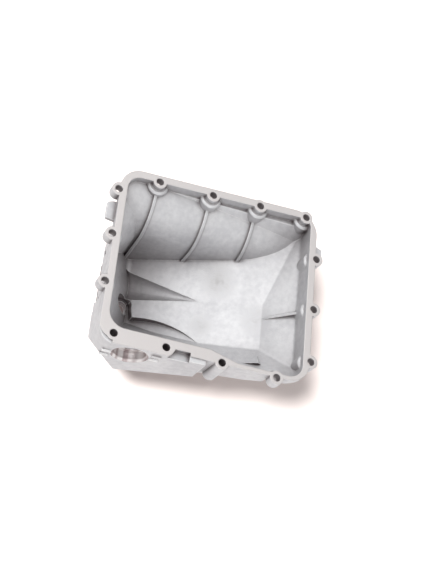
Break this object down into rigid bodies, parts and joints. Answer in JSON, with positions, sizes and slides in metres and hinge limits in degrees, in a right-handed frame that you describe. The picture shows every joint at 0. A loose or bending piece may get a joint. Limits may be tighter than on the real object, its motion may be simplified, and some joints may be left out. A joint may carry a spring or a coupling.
{
  "type": "engine oil pan",
  "caption": "Die-cast engine oil pan with a deep V-shaped sump, a bolted flange, a sight-glass bore and a drain hole.",
  "frame": {"origin": "on the machined flange face, at the middle of the opening's straight runs (the opening reaches 88.1 mm to the left and 90.7 mm to the right of it)", "axes": "+Z out of the open side, square to the flange face; +X along the flange's straight front run, away from the sight glass; +Y to the shoulder side"},
  "size_m": [0.2082, 0.1775, 0.113],
  "materials": {
    "cast_aluminium": "sandblasted die-cast, with machined faces"
  },
  "bodies": {
    "root": {"oil_pan": "cast_aluminium"}
  },
  "joints": []
}
